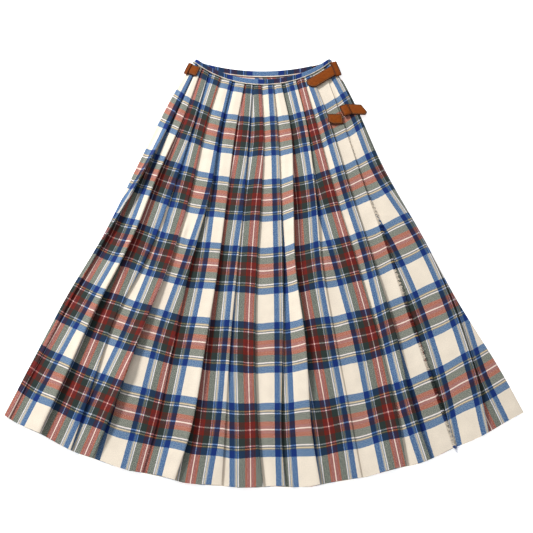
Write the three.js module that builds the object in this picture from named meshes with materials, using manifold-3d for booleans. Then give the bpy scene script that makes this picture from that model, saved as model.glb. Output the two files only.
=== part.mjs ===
// A long pleated wrap skirt, laid flat: millimetres, +X to the viewer's right, +Y to the waist, +Z up.
// Every cloth piece is a thin wall lofted through sections. A section runs across the skirt along one
// row of the weave, and the rows are arcs that open from the waist to the hem.
import * as THREE from "three";
import { mergeVertices } from "three/addons/utils/BufferGeometryUtils.js";
import Module from "manifold-3d";

// Driving dimensions
const FRONT_LENGTH = 879;
const WALL = 1.2;
const SEAM_GAP = 0.3;
const ARC_CENTRE_X = -9;
const BAND_HEIGHT = 16;
const BAND_THICKNESS = 2.4;
const BACK_RISE = 41;
const BACK_WAIST_RADIUS = 420;
const SIDE_TURN = 8;
const BACK_STEPS = 16;

// Heights of the middle of each layer of cloth above the table
const LEVEL = { back: 0.6, lap: 2.1, low: 3.6, middle: 5.2, top: 6.8, underTurn: 3.6, underTop: 5.1 };
const LAYER_PITCH = LEVEL.top - LEVEL.middle;

// Rows of the weave: distance down from the front waist seam, and the row's radius
const ROWS = [
  { name: "waist", down: 0, radius: 222 },
  { name: "hip", down: 139, radius: 322 },
  { name: "seat", down: 297, radius: 488 },
  { name: "thigh", down: 457, radius: 662 },
  { name: "knee", down: 620, radius: 766 },
  { name: "shin", down: 778, radius: 860 },
  { name: "hem", down: FRONT_LENGTH, radius: 931 },
];
const DOWN = ROWS.map((row) => row.down);

// Where each edge or fold lies across the skirt at those rows
const EDGE_COLUMNS = ["waist", "hip", "seat", "thigh", "knee", "shin", "hem"];
const EDGES = {
  left: { waist: -168, hip: -222, seat: -278, thigh: -333, knee: -396, shin: -450, hem: -485 },
  right: { waist: 152, hip: 201, seat: 253, thigh: 317, knee: 375, shin: 439, hem: 477 },
  apron: { waist: 130, hip: 165, seat: 203, thigh: 243, knee: 278, shin: 315, hem: 338 },
  underFold: { waist: 149, hip: 198, seat: 250, thigh: 314, knee: 364, shin: 395, hem: 406 },
};
const FOLDS = [
  { waist: -158, hip: -202, seat: -256, thigh: -323, knee: -386, shin: -440, hem: -475 },
  { waist: -148, hip: -183, seat: -231, thigh: -276, knee: -334, shin: -382, hem: -413 },
  { waist: -132, hip: -159, seat: -194, thigh: -237, knee: -297, shin: -331, hem: -355 },
  { waist: -104, hip: -134, seat: -159, thigh: -192, knee: -239, shin: -280, hem: -312 },
  { waist: -78, hip: -101, seat: -119, thigh: -151, knee: -177, shin: -200, hem: -222 },
  { waist: -50, hip: -69, seat: -83, thigh: -97, knee: -116, shin: -136, hem: -163 },
  { waist: -31, hip: -39, seat: -47, thigh: -59, knee: -70, shin: -76, hem: -80 },
  { waist: -12, hip: -7, seat: -11, thigh: -19, knee: -22, shin: -16, hem: -6 },
  { waist: 15, hip: 25, seat: 29, thigh: 34, knee: 31, shin: 27, hem: 33 },
  { waist: 33, hip: 54, seat: 56, thigh: 58, knee: 75, shin: 82, hem: 95 },
  { waist: 66, hip: 90, seat: 103, thigh: 112, knee: 133, shin: 156, hem: 170 },
  { waist: 83, hip: 111, seat: 142, thigh: 179, knee: 214, shin: 240, hem: 251 },
  { waist: 102, hip: 139, seat: 174, thigh: 211, knee: 246, shin: 269, hem: 295 },
];

// How deep each fold is tucked under, and how far its edge stands up, row by row
const TUCK_DEEP = { waist: 9, hip: 12, seat: 14, thigh: 16, knee: 18, shin: 20, hem: 22 };
const TUCK_FADING = { waist: 9, hip: 12, seat: 12, thigh: 9, knee: 5, shin: 3, hem: 3 };
const TUCK_SIDE = { waist: 3, hip: 8, seat: 10, thigh: 3, knee: 3, shin: 3, hem: 3 };
const TUCK_AT_SIDE = { waist: 3, hip: 8, seat: 12, thigh: 16, knee: 18, shin: 20, hem: 22 };
const TUCKS = [
  TUCK_SIDE, TUCK_AT_SIDE, TUCK_DEEP, TUCK_DEEP, TUCK_FADING, TUCK_DEEP, TUCK_FADING,
  TUCK_DEEP, TUCK_DEEP, TUCK_DEEP, TUCK_FADING, TUCK_DEEP, TUCK_DEEP,
];
const LIFTS = [
  { waist: 0, hip: 1, seat: 13, thigh: 5, knee: 0, shin: 0, hem: 0 },
  { waist: 0, hip: 1, seat: 5, thigh: 6, knee: 7, shin: 8, hem: 8 },
  { waist: 0, hip: 1, seat: 1, thigh: 2, knee: 2, shin: 2, hem: 3 },
  { waist: 0, hip: 1, seat: 2, thigh: 4, knee: 10, shin: 11, hem: 6 },
  { waist: 0, hip: 1, seat: 5, thigh: 4, knee: 1, shin: 0, hem: 0 },
  { waist: 0, hip: 1, seat: 2, thigh: 6, knee: 9, shin: 9, hem: 6 },
  { waist: 0, hip: 1, seat: 1, thigh: 1, knee: 1, shin: 1, hem: 1 },
  { waist: 0, hip: 1, seat: 1, thigh: 1, knee: 2, shin: 3, hem: 3 },
  { waist: 0, hip: 1, seat: 2, thigh: 2, knee: 2, shin: 2, hem: 3 },
  { waist: 0, hip: 2, seat: 11, thigh: 13, knee: 11, shin: 5, hem: 7 },
  { waist: 0, hip: 1, seat: 5, thigh: 2, knee: 0, shin: 0, hem: 0 },
  { waist: 0, hip: 1, seat: 1, thigh: 2, knee: 2, shin: 3, hem: 4 },
  { waist: 0, hip: 1, seat: 2, thigh: 2, knee: 6, shin: 7, hem: 5 },
];
const FREE_EDGE_LIFT = { waist: 1, hip: 1, seat: 3, thigh: 5, knee: 5, shin: 5, hem: 4 };
const UNDER_TUCK = { waist: 6, hip: 8, seat: 10, thigh: 14, knee: 20, shin: 26, hem: 30 };
const UNDER_LIFT = { waist: 0, hip: 0, seat: 0, thigh: 1, knee: 4, shin: 6, hem: 4 };
const SIDE_COVER = { waist: 3, hip: 10, seat: 14, thigh: 16, knee: 16, shin: 16, hem: 16 };
const UNDER_LAP = { waist: 50, hip: 70, seat: 90, thigh: 110, knee: 130, shin: 140, hem: 150 };

// Smooth value of a table row at a distance down the skirt: a cubic through the seven rows
function along(values, down) {
  const last = DOWN.length - 1;
  const at = THREE.MathUtils.clamp(down, DOWN[0], DOWN[last]);
  let index = 0;
  while (index < last - 1 && at > DOWN[index + 1]) index += 1;
  const slope = (k) => {
    const before = Math.max(k - 1, 0);
    const after = Math.min(k + 1, last);
    return (values[after] - values[before]) / (DOWN[after] - DOWN[before]);
  };
  const span = DOWN[index + 1] - DOWN[index];
  const t = (at - DOWN[index]) / span;
  const rise = values[index + 1] - values[index];
  const bend = t * (1 - t);
  const easing = bend * ((1 - t) * (slope(index) * span - rise) - t * (slope(index + 1) * span - rise));
  return values[index] + t * rise + easing;
}

const column = (table) => EDGE_COLUMNS.map((name) => table[name]);
const tableAt = (table) => {
  const values = column(table);
  return (down) => along(values, down);
};
const radiusAt = tableAt(Object.fromEntries(ROWS.map((row) => [row.name, row.radius])));
const edgeAt = Object.fromEntries(Object.entries(EDGES).map(([name, table]) => [name, tableAt(table)]));
const foldAt = FOLDS.map(tableAt);
const tuckAt = TUCKS.map(tableAt);
const liftAt = LIFTS.map(tableAt);
const freeEdgeLiftAt = tableAt(FREE_EDGE_LIFT);
const underTuckAt = tableAt(UNDER_TUCK);
const underLiftAt = tableAt(UNDER_LIFT);
const underLapAt = tableAt(UNDER_LAP);
const sideCoverAt = tableAt(SIDE_COVER);

// Height on the table of a point of a row: rows sag in the middle and climb towards the sides
function arcY(x, down, radius) {
  const across = x - ARC_CENTRE_X;
  return -down + radius - Math.sqrt(radius * radius - across * across);
}
const rowY = (x, down) => arcY(x, down, radiusAt(down));
const smooth = (t) => THREE.MathUtils.smoothstep(t, 0, 1);

// Section of one knife-pleated panel: it climbs from its lower layer to its fold edge, turns under,
// runs back by the tuck's depth and turns again to become the next panel's lower layer
function pleat(start, fold, tuck, lift, lowLevel) {
  const width = fold - start;
  const turn = Math.min(1, tuck / 3);
  const roll = 0.2 * lift;
  const climbEnd = Math.max(fold - tuck - 2, start + 0.4 * width);
  const topHeight = (x) => {
    const share = (x - start) / width;
    const climb = smooth((x - start) / (climbEnd - start));
    return lowLevel + (LEVEL.top - lowLevel) * climb + lift * share * share;
  };
  const underHeight = (x) => {
    const share = (x - (fold - tuck)) / tuck;
    const line = LEVEL.middle + share * (lift - roll);
    return Math.min(line, topHeight(x) - LAYER_PITCH);
  };
  const shares = [0.3, 0.55, 0.8];
  const points = shares.map((share) => [start + share * width, topHeight(start + share * width)]);
  const edgeTop = topHeight(fold - turn);
  const edgeUnder = Math.min(underHeight(fold - turn), edgeTop - LAYER_PITCH);
  points.push([fold - turn, edgeTop], [fold, (edgeTop + edgeUnder) / 2], [fold - turn, edgeUnder]);
  points.push([fold - tuck / 2, underHeight(fold - tuck / 2)]);
  points.push([fold - tuck + turn, LEVEL.middle]);
  points.push([fold - tuck, (LEVEL.middle + LEVEL.low) / 2], [fold - tuck + turn, LEVEL.low]);
  points.push([fold + 1.5, LEVEL.low]);
  return points;
}

// The over-apron's section: round the left side from under, through the folds, to the fringed edge
function overApronSection(down) {
  const left = edgeAt.left(down);
  const points = [
    [left + SIDE_TURN, LEVEL.back],
    [left + 2, LEVEL.back],
    [left, LEVEL.lap + 0.8],
    [left + 1.6, LEVEL.middle - 0.6],
    [left + 4.5, LEVEL.middle],
  ];
  let start = left + 4.5;
  let lowLevel = LEVEL.middle;
  foldAt.forEach((fold, index) => {
    points.push(...pleat(start, fold(down), tuckAt[index](down), liftAt[index](down), lowLevel));
    start = fold(down) + 1.5;
    lowLevel = LEVEL.low;
  });
  const edge = edgeAt.apron(down);
  const lift = freeEdgeLiftAt(down);
  points.push([(start + edge) / 2, LEVEL.low + 0.3 * lift], [edge, LEVEL.low + lift]);
  return points;
}

// Height of the middle of the under-apron's upper layer
const UNDER_CLIMB_START = 4;
function underHeight(x, down) {
  const start = edgeAt.apron(down) + UNDER_CLIMB_START;
  const fold = edgeAt.underFold(down);
  const end = Math.max(fold - underTuckAt(down) - 2, start + 0.5 * (fold - start));
  const share = THREE.MathUtils.clamp((x - start) / (fold - start), 0, 1);
  const climb = smooth((x - start) / (end - start));
  return LEVEL.lap + (LEVEL.underTop - LEVEL.lap) * climb + underLiftAt(down) * share * share;
}

// The under-apron's section: from its hidden lap to its fold on the right, and back beneath
function underApronSection(down) {
  const apron = edgeAt.apron(down);
  const fold = edgeAt.underFold(down);
  const tuck = underTuckAt(down);
  const start = apron + UNDER_CLIMB_START;
  const points = [[apron - underLapAt(down), LEVEL.lap], [start, LEVEL.lap]];
  [0.2, 0.4, 0.6, 0.8].forEach((share) => {
    const x = start + share * (fold - start);
    points.push([x, underHeight(x, down)]);
  });
  const top = underHeight(fold - 1, down);
  const under = LEVEL.underTurn + 0.8 * underLiftAt(down);
  points.push([fold - 1, top], [fold, (top + under) / 2], [fold - 1, under]);
  points.push([fold - tuck, LEVEL.underTurn]);
  return points;
}

// The back panel's section: a layer folded over the right side, then flat on the table to the left
function backPanelSection(left, right, foldOver) {
  const seam = left + SIDE_TURN + SEAM_GAP;
  const flatEnd = right - 2;
  const flat = Array.from({ length: BACK_STEPS + 1 }, (unused, step) => (
    [flatEnd + ((seam - flatEnd) * step) / BACK_STEPS, LEVEL.back]
  ));
  return [
    [right - foldOver, LEVEL.lap],
    [flatEnd, LEVEL.lap],
    [right, (LEVEL.lap + LEVEL.back) / 2],
    ...flat,
  ];
}

// Points half a wall to each side of a section's line, with mitred corners
function bothSides(section, thickness) {
  const half = thickness / 2;
  const points = section.map(([x, z]) => new THREE.Vector2(x, z));
  const normals = points.slice(1).map((point, index) => {
    const step = point.clone().sub(points[index]).normalize();
    return new THREE.Vector2(-step.y, step.x);
  });
  const offset = (sign) => points.map((point, index) => {
    const before = normals[Math.max(index - 1, 0)];
    const after = normals[Math.min(index, normals.length - 1)];
    const middle = before.clone().add(after).normalize();
    const reach = Math.min(half / Math.max(middle.dot(after), 0.5), half * 1.4);
    return point.clone().addScaledVector(middle, sign * reach);
  });
  return [offset(1), offset(-1)];
}

// A closed wall through rings of the same number of points: each ring is one section's two sides
function loftWall(sections, thickness) {
  const positions = [];
  const indices = [];
  const count = sections[0].points.length;
  sections.forEach(({ points, place }) => {
    const [upper, lower] = bothSides(points, thickness);
    [...upper, ...lower.reverse()].forEach(({ x, y: z }) => positions.push(...place(x, z)));
  });
  const ring = 2 * count;
  const quad = (a, b, c, d) => indices.push(a, b, c, a, c, d);
  for (let row = 0; row < sections.length - 1; row += 1) {
    for (let k = 0; k < ring; k += 1) {
      const next = (k + 1) % ring;
      quad(row * ring + k, (row + 1) * ring + k, (row + 1) * ring + next, row * ring + next);
    }
  }
  const lastRow = (sections.length - 1) * ring;
  for (let k = 0; k < count - 1; k += 1) {
    const across = ring - 1 - k;
    quad(k, k + 1, across - 1, across);
    quad(lastRow + k, lastRow + across, lastRow + across - 1, lastRow + k + 1);
  }
  const geometry = new THREE.BufferGeometry();
  geometry.setAttribute("position", new THREE.Float32BufferAttribute(positions, 3));
  geometry.setIndex(indices);
  return geometry;
}

// Sections for a list of rows, with the front rows' arcs
const frontSections = (downs, sectionAt) => downs.map((down) => ({
  points: sectionAt(down),
  place: (x, z) => [x, rowY(x, down), z],
}));

const CLOTH_ROWS = [0, 45, 92, 139, 215, 297, 377, 457, 538, 620, 699, 778, 830, FRONT_LENGTH];
const overApron = () => loftWall(frontSections(CLOTH_ROWS, overApronSection), WALL);
const underApron = () => loftWall(frontSections(CLOTH_ROWS, underApronSection), WALL);

function backPanel() {
  const foldOver = (down) => edgeAt.right(down) - edgeAt.underFold(down) + sideCoverAt(down);
  const lower = frontSections([60, ...CLOTH_ROWS.filter((down) => down > 60)], (down) => (
    backPanelSection(edgeAt.left(down), edgeAt.right(down), foldOver(down))
  ));
  const waist = {
    points: backPanelSection(-160, 142, 4),
    place: (x, z) => [x, arcY(x, -BACK_RISE, BACK_WAIST_RADIUS), z],
  };
  return loftWall([waist, ...lower], WALL);
}

// The waistbands: flat strips along the waist's arcs, the front one's ends bent down to the back
const BAND_RADIUS = 227;
function frontBandSection(left, right) {
  const middle = LEVEL.middle + 0.2;
  const inner = [-0.8, -0.55, -0.3, -0.1, 0.1, 0.3, 0.55, 0.8].map((share) => {
    const centre = (left + right) / 2;
    return [centre + (share * (right - left)) / 2, middle];
  });
  return [[left, 2.4], [left + 2.5, 4.4], [left + 10, middle], ...inner,
    [right - 10, middle], [right - 2.5, 4.4], [right, 2.4]];
}

function frontWaistband() {
  const rows = [
    { down: -BAND_HEIGHT, left: -161, right: 144, radius: BAND_RADIUS },
    { down: -2 * SEAM_GAP, left: -167, right: 151, radius: radiusAt(0) },
  ];
  return loftWall(rows.map(({ down, left, right, radius }) => ({
    points: frontBandSection(left, right),
    place: (x, z) => [x, arcY(x, down, radius), z],
  })), BAND_THICKNESS);
}

function backWaistband() {
  const steps = 12;
  const strip = (left, right) => Array.from({ length: steps + 1 }, (unused, step) => (
    [left + ((right - left) * step) / steps, LEVEL.lap]
  ));
  return loftWall([-BACK_RISE, -BACK_RISE + BAND_HEIGHT].map((down) => ({
    points: strip(-146, 104),
    place: (x, z) => [x, arcY(x, down, BACK_WAIST_RADIUS), z],
  })), WALL);
}

// Manifold joins the fringe's threads to their backing strip
const wasm = await Module();
wasm.setup();

function toSolid(geometry) {
  const plain = geometry.clone();
  plain.deleteAttribute("normal");
  plain.deleteAttribute("uv");
  const merged = mergeVertices(plain, 1e-4);
  return new wasm.Manifold(new wasm.Mesh({
    numProp: 3,
    vertProperties: new Float32Array(merged.attributes.position.array),
    triVerts: new Uint32Array(merged.index.array),
  }));
}

function toGeometry(solid) {
  const mesh = solid.getMesh();
  const geometry = new THREE.BufferGeometry();
  geometry.setAttribute("position", new THREE.BufferAttribute(new Float32Array(mesh.vertProperties), 3));
  geometry.setIndex(new THREE.BufferAttribute(new Uint32Array(mesh.triVerts), 1));
  return geometry;
}

// One thread: a thin four-sided taper from the strip out over the under-apron
const FRINGE = { top: 150, gap: 0.4, strip: 2, length: 10, spacing: 6.4, width: 1.4, thickness: 1 };
function fringeThread(down) {
  const root = edgeAt.apron(down) + FRINGE.gap + 0.5 * FRINGE.strip;
  const sections = [0, 0.5, 1].map((share) => {
    const x = root + share * (0.5 * FRINGE.strip + FRINGE.length);
    const z = underHeight(x, down) + WALL / 2 + SEAM_GAP + FRINGE.thickness / 2 + 0.2;
    return { x, z, width: FRINGE.width * (1 - 0.4 * share) };
  });
  const positions = [];
  sections.forEach(({ x, z, width }) => {
    const y = rowY(x, down);
    [[-1, -1], [1, -1], [1, 1], [-1, 1]].forEach(([side, height]) => {
      positions.push(x, y + (side * width) / 2, z + (height * FRINGE.thickness) / 2);
    });
  });
  const indices = [0, 3, 2, 0, 2, 1, 8, 9, 10, 8, 10, 11];
  [0, 4].forEach((base) => {
    for (let k = 0; k < 4; k += 1) {
      const next = (k + 1) % 4;
      indices.push(base + k, base + next, base + 4 + next, base + k, base + 4 + next, base + 4 + k);
    }
  });
  const geometry = new THREE.BufferGeometry();
  geometry.setAttribute("position", new THREE.Float32BufferAttribute(positions, 3));
  geometry.setIndex(indices);
  return geometry;
}

function apronFringe() {
  const rows = CLOTH_ROWS.filter((down) => down > FRINGE.top);
  const stripSections = frontSections([FRINGE.top, ...rows], (down) => {
    const x = edgeAt.apron(down) + FRINGE.gap;
    const z = underHeight(x, down) + WALL / 2 + SEAM_GAP + 0.2 + FRINGE.thickness / 2;
    return [[x, z], [x + FRINGE.strip, z]];
  });
  let fringe = toSolid(loftWall(stripSections, FRINGE.thickness));
  for (let down = FRINGE.top + 3; down < FRONT_LENGTH - 2; down += FRINGE.spacing) {
    fringe = fringe.add(toSolid(fringeThread(down)));
  }
  return toGeometry(fringe);
}

// Leather pieces: flat outlines with rounded corners, given their thickness and turned in place
function roundedOutline(corners, radius) {
  const shape = new THREE.Shape();
  const count = corners.length;
  const point = (index) => new THREE.Vector2(...corners[(index + count) % count]);
  corners.forEach((unused, index) => {
    const corner = point(index);
    const towards = (other) => corner.clone().addScaledVector(other.sub(corner).normalize(), radius);
    const from = towards(point(index - 1));
    const to = towards(point(index + 1));
    if (index === 0) shape.moveTo(from.x, from.y);
    else shape.lineTo(from.x, from.y);
    shape.quadraticCurveTo(corner.x, corner.y, to.x, to.y);
  });
  shape.closePath();
  return shape;
}

// A slope raises the end of the plate that lies on a fold
function leatherPlate({ corners, radius = 2, slope = 0, thickness, x, y, z, turn }) {
  const shape = roundedOutline(corners, radius);
  const geometry = new THREE.ExtrudeGeometry(shape, { depth: thickness, bevelEnabled: false, curveSegments: 4 });
  const end = Math.max(...corners.map((corner) => corner[0]));
  geometry.applyMatrix4(new THREE.Matrix4().set(1, 0, 0, 0, 0, 1, 0, 0, -slope, 0, 1, slope * end, 0, 0, 0, 1));
  geometry.rotateZ(THREE.MathUtils.degToRad(turn));
  geometry.translate(x, y, z);
  return geometry;
}

const rectangle = (length, width) => [
  [-length / 2, -width / 2], [length / 2, -width / 2], [length / 2, width / 2], [-length / 2, width / 2],
];

// A leather loop that a strap passes through: a flat ring, extruded along the strap
function leatherLoop({ strapWidth, strapThickness, ringWall, length, x, y, z, turn }) {
  const inner = rectangle(strapWidth + 1.4, strapThickness + 0.8);
  const outer = rectangle(strapWidth + 1.4 + 2 * ringWall, strapThickness + 0.8 + 2 * ringWall);
  const shape = roundedOutline(outer, 1.2);
  shape.holes.push(roundedOutline(inner, 0.6));
  const geometry = new THREE.ExtrudeGeometry(shape, { depth: length, bevelEnabled: false, curveSegments: 3 });
  geometry.translate(0, 0, -length / 2);
  geometry.rotateX(Math.PI / 2);
  geometry.rotateZ(THREE.MathUtils.degToRad(turn + 90));
  geometry.translate(x, y, z + strapThickness / 2);
  return geometry;
}

const STRAP_WIDTH = 27;
const LEATHER = 2.6;
const LEFT_LEATHER_Z = 8.1;
const RIGHT_LEATHER_Z = 8;
const HIP_LEATHER_Z = 6.1;

const leftStrap = () => leatherPlate({
  corners: rectangle(30, STRAP_WIDTH), thickness: LEATHER, x: -169.3, y: 39.5, z: LEFT_LEATHER_Z, turn: -20,
});
const leftKeeper = () => leatherLoop({
  strapWidth: STRAP_WIDTH, strapThickness: LEATHER, ringWall: 1.5, length: 9,
  x: -178.3, y: 42.8, z: LEFT_LEATHER_Z, turn: -20,
});
const rightStrap = () => leatherPlate({
  corners: [[-40.5, -5.5], [-32, -13.5], [39.5, -13.5], [39.5, 13.5], [-38, 13.5], [-43, 4]],
  radius: 4, thickness: LEATHER,
  x: 128.5, y: 21, z: RIGHT_LEATHER_Z, turn: 36,
});
const rightBuckle = () => leatherLoop({
  strapWidth: STRAP_WIDTH + 9, strapThickness: LEATHER, ringWall: 1.3, length: 15,
  x: 157.8, y: 42.5, z: RIGHT_LEATHER_Z, turn: 16,
});
const hipTab = () => leatherPlate({
  corners: [[-10.5, -8], [0, -13.5], [22, -13.5], [22, 13.5], [-11, 13.5]],
  slope: 0.1, thickness: LEATHER, x: 146, y: -95, z: HIP_LEATHER_Z, turn: 5,
});
const hipBuckle = () => leatherPlate({
  corners: rectangle(20, 29), thickness: LEATHER,
  x: 175, y: -72, z: HIP_LEATHER_Z + LEATHER + 0.8, turn: 20,
});
const hipStrapEnd = () => leatherPlate({
  corners: [[-25, -13.5], [15, -13.5], [18.5, -6], [5, 13.5], [-25, 13.5]],
  thickness: LEATHER, x: 205, y: -68, z: HIP_LEATHER_Z, turn: -3,
});

// Finishes
const cloth = () => new THREE.MeshStandardMaterial({ color: 0x8c8f96, roughness: 0.9, metalness: 0, flatShading: true });
const leather = () => new THREE.MeshStandardMaterial({ color: 0xa5521c, roughness: 0.55, metalness: 0, flatShading: true });

const PIECES = [
  ["back_panel", backPanel, cloth],
  ["back_waistband", backWaistband, cloth],
  ["under_apron", underApron, cloth],
  ["over_apron", overApron, cloth],
  ["front_waistband", frontWaistband, cloth],
  ["apron_fringe", apronFringe, cloth],
  ["left_strap", leftStrap, leather],
  ["left_keeper", leftKeeper, leather],
  ["right_strap", rightStrap, leather],
  ["right_buckle", rightBuckle, leather],
  ["hip_tab", hipTab, leather],
  ["hip_buckle", hipBuckle, leather],
  ["hip_strap_end", hipStrapEnd, leather],
];

const group = new THREE.Group();
PIECES.forEach(([name, make, finish]) => {
  const mesh = new THREE.Mesh(make(), finish());
  mesh.name = name;
  group.add(mesh);
});

// The origin is the middle of the skirt's outline on the table
const outline = new THREE.Box3().setFromObject(group);
const middle = outline.getCenter(new THREE.Vector3());
group.position.set(-middle.x, -middle.y, -outline.min.z);
group.updateMatrixWorld(true);

export default group;
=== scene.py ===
"""A long pleated wrap skirt in a traditional check, laid flat on a pale floor.

The cloth is worked out in millimetres, with x to the viewer's right, y to the waist and z up, from
the same rows, folds and layers as the frame's solids. Each piece goes into its mesh in metres.
"""
from __future__ import annotations

import logging
import math
from collections.abc import Callable, Iterable
from dataclasses import astuple, dataclass, field
from enum import Enum
from functools import partial

import bpy
import numpy as np
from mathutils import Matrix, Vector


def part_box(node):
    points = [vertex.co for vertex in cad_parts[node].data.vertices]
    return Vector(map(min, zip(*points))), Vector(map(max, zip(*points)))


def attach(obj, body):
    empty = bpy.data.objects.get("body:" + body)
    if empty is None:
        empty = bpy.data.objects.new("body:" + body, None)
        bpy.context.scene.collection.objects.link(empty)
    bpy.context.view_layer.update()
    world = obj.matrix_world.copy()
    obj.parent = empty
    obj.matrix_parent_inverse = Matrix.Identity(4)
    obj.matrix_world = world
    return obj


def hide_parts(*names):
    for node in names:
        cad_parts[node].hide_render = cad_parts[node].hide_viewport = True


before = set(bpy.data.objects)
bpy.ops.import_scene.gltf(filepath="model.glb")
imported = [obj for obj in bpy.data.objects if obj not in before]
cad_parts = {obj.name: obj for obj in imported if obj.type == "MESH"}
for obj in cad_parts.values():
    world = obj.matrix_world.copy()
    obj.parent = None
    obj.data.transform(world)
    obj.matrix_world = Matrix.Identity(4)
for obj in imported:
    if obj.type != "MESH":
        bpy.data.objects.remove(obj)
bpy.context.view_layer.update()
LOG = logging.getLogger("skirt")
Array = np.ndarray
OfX = Callable[[Array], Array]
Piece = bpy.types.Object
Material = bpy.types.Material
Node = bpy.types.Node
Socket = bpy.types.NodeSocket
Colour = tuple[float, float, float]

ROW_DOWN = np.array([0.0, 139.0, 297.0, 457.0, 620.0, 778.0, 879.0])
FRONT_LENGTH = 879.0
HEM_START = 780.0
ARC_CENTRE_X = -9.0
HIP_BUCKLE_PLACE = (175.0, -72.0)
SHARP_ANGLE = math.radians(62)
SMALLEST = 1e-9


@dataclass(frozen=True)
class AtRows:
    """A length in millimetres at the seven measured rows, from the waist to the hem."""

    waist: float
    hip: float
    seat: float
    thigh: float
    knee: float
    shin: float
    hem: float

    def at(self, down: Array) -> Array:
        """Cubic between two rows, whose slope at a row is the line through the row's neighbours.

        Args:
            down: Distances down from the waist seam.

        Returns:
            The length at each distance.
        """
        values = np.array(astuple(self))
        around, rows = np.pad(values, 1, "edge"), np.pad(ROW_DOWN, 1, "edge")
        slopes = (around[2:] - around[:-2]) / (rows[2:] - rows[:-2])
        place = np.clip(down, ROW_DOWN[0], ROW_DOWN[-1])
        k = np.clip(np.searchsorted(ROW_DOWN, place) - 1, 0, len(values) - 2)
        span = ROW_DOWN[k + 1] - ROW_DOWN[k]
        t = (place - ROW_DOWN[k]) / span
        rise = values[k + 1] - values[k]
        ease = t * (1 - t) * ((1 - t) * (slopes[k] * span - rise) - t * (slopes[k + 1] * span - rise))
        return values[k] + t * rise + ease


class Level(Enum):
    """Heights of the middle of each layer of cloth above the floor."""

    BACK = 0.6
    LAP = 2.1
    LOW = 3.6
    UNDER_TOP = 5.1
    MIDDLE = 5.2
    TOP = 6.8


WALL = 1.1
FLAT_WALL = 1.2
RIPPLE_ROOM = 2.3
PITCH = Level.TOP.value - Level.MIDDLE.value
RADIUS = AtRows(222, 322, 488, 662, 766, 860, 931)
WEFT = AtRows(-135, -1, 160, 320, 480, 640, 742)
LEFT_SIDE = AtRows(-168, -222, -278, -333, -396, -450, -485)
RIGHT_SIDE = AtRows(152, 201, 253, 317, 375, 439, 477)
APRON_EDGE = AtRows(130, 165, 203, 243, 278, 315, 338)
UNDER_FOLD = AtRows(149, 198, 250, 314, 364, 395, 406)
FREE_EDGE_LIFT = AtRows(1, 1, 3, 5, 5, 5, 4)
UNDER_TUCK = AtRows(6, 8, 10, 14, 20, 26, 30)
UNDER_LIFT = AtRows(0, 0, 0, 1, 4, 6, 4)
UNDER_LAP = AtRows(50, 70, 90, 110, 130, 140, 150)
SIDE_COVER = AtRows(3, 10, 14, 16, 16, 16, 16)
TUCK_DEEP = AtRows(9, 12, 14, 16, 18, 20, 22)
TUCK_FADING = AtRows(9, 12, 12, 9, 5, 3, 3)
TUCK_SIDE = AtRows(3, 8, 10, 3, 3, 3, 3)
TUCK_AT_SIDE = AtRows(3, 8, 12, 16, 18, 20, 22)
LIFT_LOW = AtRows(0, 1, 1, 1, 2, 3, 3)


@dataclass(frozen=True)
class Stripe:
    """A stripe of the warp: where it lies at the rows, and its distance from a white line."""

    place: AtRows
    warp: float

    def warp_at(self, x: Array, down: Array) -> Array:
        """Warp distance of a point: the stripe's own plus the length of the row's arc between them."""
        radius = RADIUS.at(down)
        return self.warp + arc_length(x, radius) - arc_length(self.place.at(down), radius)

    def over(self, down: Array, offset: float = 0.0) -> OfX:
        """The warp distance as a function of x alone, on given rows and some repeats on."""
        return lambda x: self.warp_at(x, down) + offset


@dataclass(frozen=True)
class Pleat:
    """One knife pleat: its fold edge, the depth tucked under, how far it stands up, its stripe."""

    fold: AtRows
    tuck: AtRows
    lift: AtRows
    stripe: Stripe


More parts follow.
